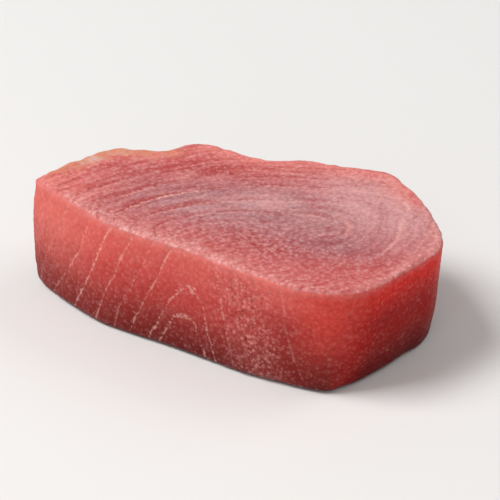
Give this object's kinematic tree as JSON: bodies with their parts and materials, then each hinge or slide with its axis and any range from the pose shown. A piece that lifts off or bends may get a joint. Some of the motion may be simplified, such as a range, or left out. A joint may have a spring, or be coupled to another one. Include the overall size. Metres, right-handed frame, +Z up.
{
  "type": "raw tuna steak",
  "caption": "Thick slice of raw tuna loin: flat cut faces, a long straight side, a wide rounded end, a wavy skinned side and a narrow end with a sharp corner.",
  "frame": {"origin": "middle of the bounding box, on the flat base that the steak lies on", "axes": "+X along the length, from the narrow end's sharp corner to the wide rounded end; +Y across, from the long straight cut side to the wavy skinned side; +Z up, through the thickness"},
  "size_m": [0.1028, 0.061, 0.031],
  "materials": {
    "tuna_flesh": "raw fish flesh, coral red with fine pale grain, moist and semi-matt"
  },
  "bodies": {
    "root": {"tuna_steak": "tuna_flesh"}
  },
  "joints": []
}
